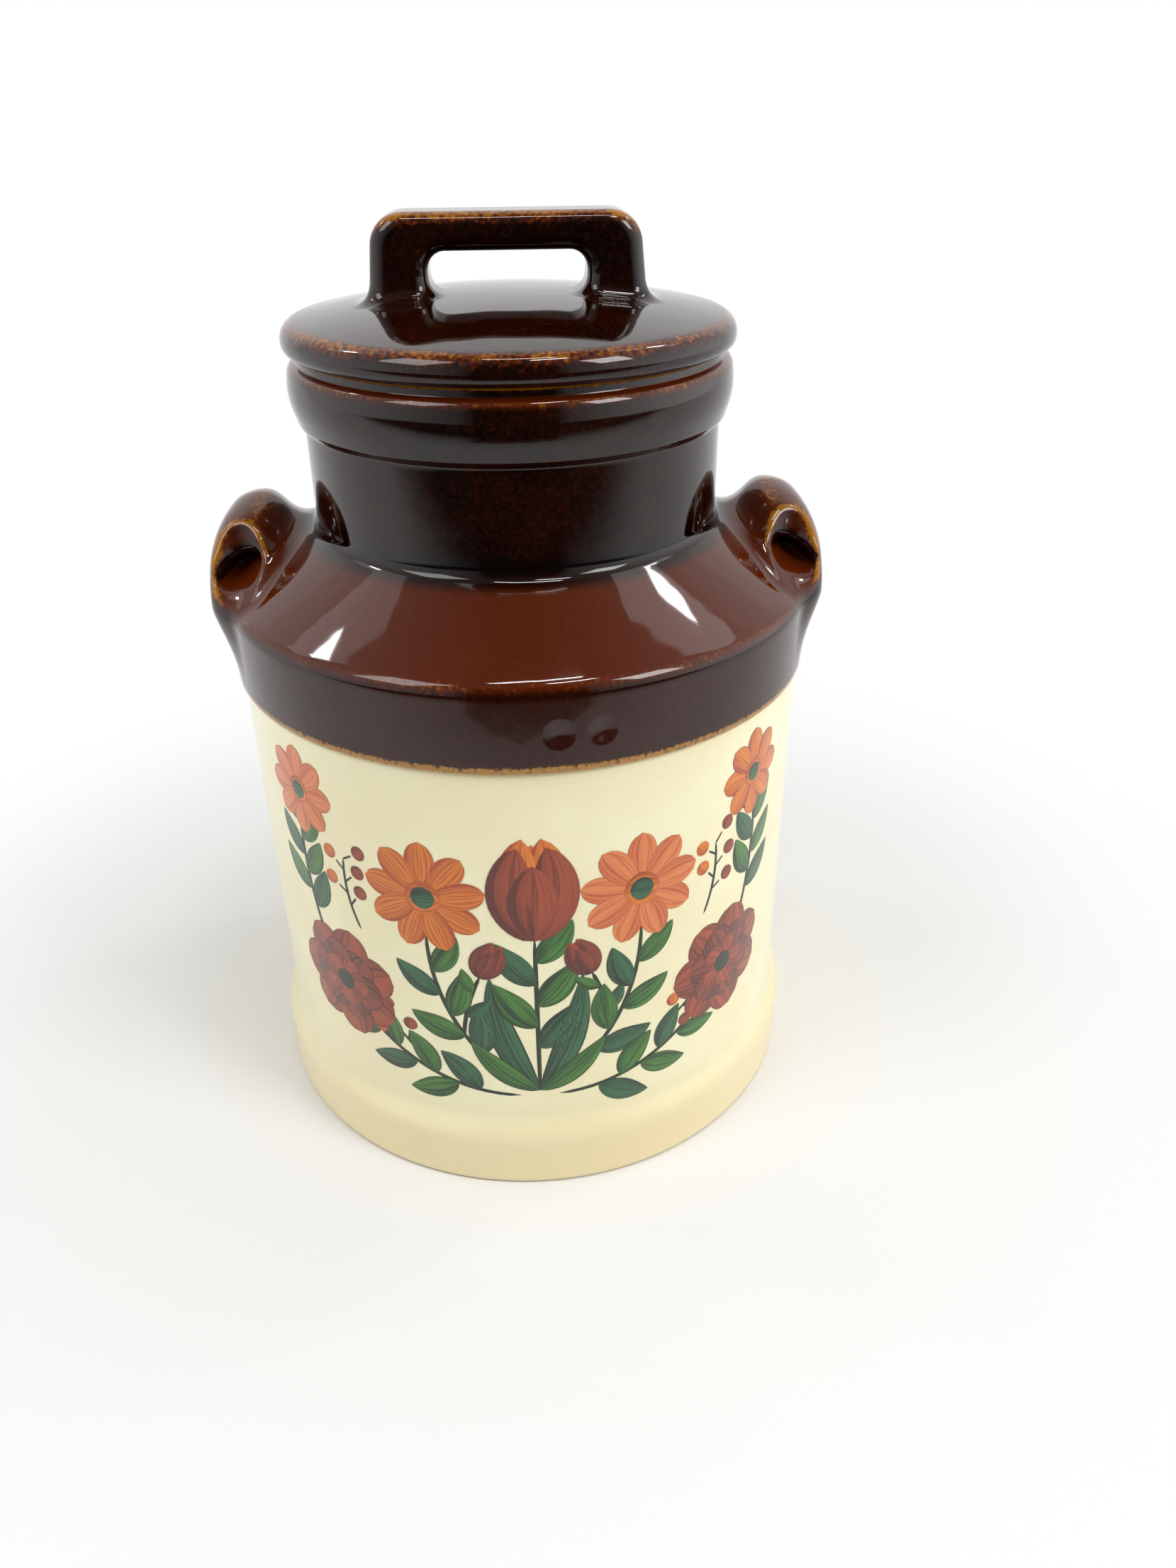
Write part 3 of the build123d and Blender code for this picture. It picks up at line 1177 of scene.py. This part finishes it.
def kept(tree, name, kind="FLOAT"):
    """A value that the mesh carries under a name."""
    node = add_node(tree, "GeometryNodeInputNamedAttribute", {"Name": name}, data_type=kind)
    return node.outputs[0]


def keep(geometry, name, value):
    """Stores a vector on each point under a name."""
    return result("GeometryNodeStoreNamedAttribute", {
        "Geometry": geometry, "Name": name, "Value": value,
    }, data_type="FLOAT_VECTOR", domain="POINT")


def legs_of(reach, turn):
    """How far a reach in some direction goes ahead, and how far aside."""
    return times(reach, calc("COSINE", turn)), times(reach, calc("SINE", turn))


brush_here = add_node(brush, "GeometryNodeInputPosition").outputs[0]
brush_hair = result("GeometryNodeMeshGrid", {
    "Size X": 1.0, "Size Y": 2.0,
    "Vertices X": brush_in["Steps along"], "Vertices Y": brush_in["Steps across"],
})
brush_sheet = keep(brush_hair, "hair", vector_calc("ADD", brush_here, (0.5, 0, 0)))
brush_starts = keep(brush_in["Strokes"], "start", brush_here)


def stroke_point(tree, wall_radius, lift):
    """Where a point of a stroke lies: along and across its own line, then round the wall."""
    along_it, across, _ = parts_of(kept(tree, "hair", "FLOAT_VECTOR"))
    start_u, _, start_v = parts_of(kept(tree, "start", "FLOAT_VECTOR"))
    bend = times(kept(tree, "bend"), along_it)
    facing = calc("ADD", kept(tree, "angle"), bend)
    heading = times(bend, 0.5, plus=kept(tree, "angle"))
    reach = times(kept(tree, "length"), along_it)
    belly = calc("POWER", along_it, kept(tree, "belly"))
    bulge = calc("SINE", times(belly, almost_half_turn))
    swell = calc("POWER", bulge, kept(tree, "point"))
    half_width = times(kept(tree, "width"), times(swell, 0.5))
    ahead_u, ahead_v = legs_of(reach, heading)
    aside_v, aside_u = legs_of(times(across, half_width), facing)
    u = calc("SUBTRACT", calc("ADD", start_u, ahead_u), aside_u)
    v = calc("ADD", calc("ADD", start_v, ahead_v), aside_v)
    depth, x = legs_of(calc("ADD", wall_radius, lift), calc("DIVIDE", u, wall_radius))
    return result("ShaderNodeCombineXYZ", {"X": x, "Y": times(depth, -1.0), "Z": v})


brush_lift = times(kept(brush, "layer"), brush_in["Layer thickness"], plus=brush_in["Clearance"])
brush_painted = chain(
    brush_starts,
    ("MeshToPoints", "Mesh", {}),
    ("InstanceOnPoints", "Points", {"Instance": brush_sheet}),
    ("RealizeInstances", "Geometry", {}),
    ("SetPosition", "Geometry", {"Position": stroke_point(brush, brush_in["Wall radius"], brush_lift)}),
    ("SetShadeSmooth", "Geometry", {}),
    ("SetMaterial", "Geometry", {"Material": brush_in["Paint"]}),
)
link(brush_painted, brush_out["Geometry"])

strokes = []


def stroke(at, angle, length, width, bend, belly, point, layer, paint):
    """One brush stroke: at is (round the wall, up), in mm, and angles are in degrees."""
    strokes.append((at, math.radians(angle), length, width, math.radians(bend), belly, point, layer, paint))


def dot(at, size, layer, paint):
    """A round dab of paint."""
    stroke((at[0] - size / 2, at[1]), 0, size, size, 0, *dab_shape, layer, paint)


def along(at, angle, length, bend, share):
    """The place on a stroke's middle line at a share of its length, and its direction there."""
    heading = math.radians(angle + bend * share / 2)
    place = (at[0] + length * share * math.cos(heading), at[1] + length * share * math.sin(heading))
    return place, angle + bend * share


def leafy_stem(at, angle, length, bend, leaves, leaf_length, first, last):
    """A stem with leaves to its left and right in turn; gives its tip and its direction there."""
    stroke(at, angle, length, stem_width, bend, *stem_shape, 0, "ink")
    for index, share in enumerate(np.linspace(first, last, leaves)):
        place, facing = along(at, angle, length, bend, share)
        side = 1 if index % 2 else -1
        size = leaf_length * (1 - leaf_shrinks * share)
        stroke(
            place, facing + side * leaf_lean, size, size * leaf_slimness, -side * leaf_bend,
            *leaf_shape, 1 + index % 2, "leaf" if index % 3 else "fern",
        )
    return along(at, angle, length, bend, 1)


def daisy(at, size, petals, paint):
    """Round-tipped petals about an orange heart with a green eye."""
    for index in range(petals):
        angle = daisy_tilt + 360 * index / petals
        width = size * daisy_fullness / petals
        stroke(at, angle, size / 2, width, 0, *petal_shape, 3 + index % 2, paint)
    dot(at, size * daisy_heart, 6, "orange")
    dot(at, size * daisy_eye, 7, "fern")


def rosette(at, size, paint):
    """A full flower of rings of petals that get smaller towards the heart."""
    for ring, (petals, reach) in enumerate(((7, 1.0), (6, 0.72), (5, 0.46))):
        for index in range(petals):
            angle = rosette_tilt + rosette_turn * ring + 360 * index / petals
            width = size * reach * rosette_fullness / petals
            stroke(
                at, angle, size / 2 * reach, width, rosette_bend,
                *full_petal_shape, 3 + 2 * ring + index % 2, paint if ring != 1 else "brick",
            )
    dot(at, size * rosette_heart, 9, "ink")


def tulip(at, angle, size, paint, inner):
    """A cup of petals on the end of a stem."""
    petals = (
        (0, 0.94, inner), (-22, 1.0, inner), (22, 1.0, inner),
        (-36, 0.92, paint), (36, 0.92, paint), (0, 0.74, paint),
    )
    for index, (lean, length, which) in enumerate(petals):
        width = size * tulip_slimness
        stroke(at, angle + lean, size * length, width, -lean * tulip_curl, *cup_shape, 3 + index, which)


def berries(at, angle, length, bend, count):
    """A thin sprig with round berries."""
    stroke(at, angle, length, sprig_width, bend, *stem_shape, 0, "ink")
    for index, share in enumerate(np.linspace(0.35, 1, count)):
        place, facing = along(at, angle, length, bend, share)
        facing += berry_lean if index % 2 else -berry_lean
        tip, _ = along(place, facing, berry_reach, 0, 1)
        stroke(place, facing, berry_twig, berry_twig_width, 0, *stem_shape, 0, "ink")
        stroke(tip, facing, berry_size, berry_size, 0, *dab_shape, 2, "orange" if index % 2 else "rust")


# The middle plant: a tall tulip between long leaves
middle_foot = (0.0, 40.0)
tulip_foot, tulip_facing = leafy_stem(middle_foot, 90, 62, 0, 5, 25, 0.3, 0.86)
tulip(tulip_foot, tulip_facing, 37, "rust", "orange")
for side in (1, -1):
    stroke(middle_foot, 90 - side * 34, 50, 9.5, side * 34, *blade_shape, 1, "fern")
    stroke(middle_foot, 90 - side * 62, 30, 8, side * 30, *blade_shape, 2, "leaf")

    # A stem to each side with a daisy on its end, and a smaller tulip that leans out from it
    bow_foot = (side * 3.0, 42.0)
    daisy_foot, _ = leafy_stem(bow_foot, 90 - side * 58, 68, side * 62, 5, 22, 0.3, 0.8)
    daisy((daisy_foot[0], daisy_foot[1] + 13), 40, 9, "salmon" if side > 0 else "orange")
    bud_foot, bud_facing = leafy_stem((side * 24.0, 62.0), 90 + side * 4, 26, side * 20, 2, 12, 0.35, 0.75)
    tulip(bud_foot, bud_facing, 15, "brick", "rust")

    # A low branch with a full flower, and a sprig of berries over it
    low_foot, _ = leafy_stem((side * 6.0, 38.0), 90 - side * 88, 62, side * 44, 6, 21, 0.22, 0.84)
    rosette((low_foot[0] + side * 6, low_foot[1] + 8), 44, "rust")
    outer_foot, _ = leafy_stem(
        (low_foot[0] + side * 12, low_foot[1] + 18), 90 - side * 22, 52, side * 30, 6, 20, 0.3, 0.9,
    )
    daisy((outer_foot[0] - side, outer_foot[1] + 7), 31, 8, "orange" if side > 0 else "salmon")
    berries((side * 58.0, 96.0), 90 - side * 26, 26, side * 34, 5)
    berries((side * 40.0, 50.0), 90 - side * 30, 20, -side * 30, 4)

stroke_mesh = bpy.data.meshes.new("flower_strokes")
stroke_mesh.from_pydata([(at[0] * millimetre, 0, at[1] * millimetre) for at, *_ in strokes], [], [])
in_metres = {"length", "width"}
for column, name in enumerate(("angle", "length", "width", "bend", "belly", "point", "layer"), 1):
    scale = millimetre if name in in_metres else 1
    kept_values = stroke_mesh.attributes.new(name, "FLOAT", "POINT")
    kept_values.data.foreach_set("value", [row[column] * scale for row in strokes])
for which, name in enumerate(("light_paint", "dark_paint")):
    kept_paint = stroke_mesh.attributes.new(name, "FLOAT_VECTOR", "POINT")
    kept_paint.data.foreach_set("vector", [v for row in strokes for v in paints[row[-1]][which][:3]])

flower_paint, flower_tree, flower_shader = new_material(
    "flower_paint", Roughness=0.2, IOR=1.5, Coat_Weight=0.3, Coat_Roughness=0.06,
)
flower_hair = carried(flower_tree, "hair", "Vector")
flower_along, flower_across, _ = parts_of(flower_hair)
flower_own = vector_calc("MULTIPLY", carried(flower_tree, "start", "Vector"), hair_shuffle)
flower_stretch = vector_calc("MULTIPLY", flower_hair, hair_spacing)
flower_hairs = noise(vector_calc("ADD", flower_stretch, flower_own), 1.0, detail=2.0)
flower_dark = 0.0
for flower_value, flower_light_to, flower_dark_from, flower_share in (
    (flower_hairs, 0.46, 0.62, 0.65),  # between the marks of the hairs
    (flower_across, -0.35, 0.75, 0.45),  # along one side
    (flower_along, 0.35, 0.0, 0.4),  # at the root
    (calc("ABSOLUTE", flower_across), 0.82, 1.0, 0.35),  # round the rim
):
    flower_mask = ramp(flower_value, flower_light_to, flower_dark_from)
    flower_dark = times(flower_mask, flower_share, plus=flower_dark)
flower_colour = mixed(
    calc("MINIMUM", flower_dark, 1.0),
    carried(flower_tree, "light_paint", "Vector"), carried(flower_tree, "dark_paint", "Vector"),
)
link(flower_colour, flower_shader.inputs["Base Color"])
flower_ripple, _, _ = kiln_marks(flower_tree, **cream_kiln)
add_bump(flower_shader, flower_ripple, ripple_depth)

flowers = grown(
    "painted_flowers", stroke_mesh, brush, Steps_along=stroke_steps_along, Steps_across=stroke_steps_across,
    Wall_radius=body_radius * millimetre, Clearance=paint_clearance * millimetre,
    Layer_thickness=paint_layer * millimetre, Paint=flower_paint,
)
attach(flowers, "jar")
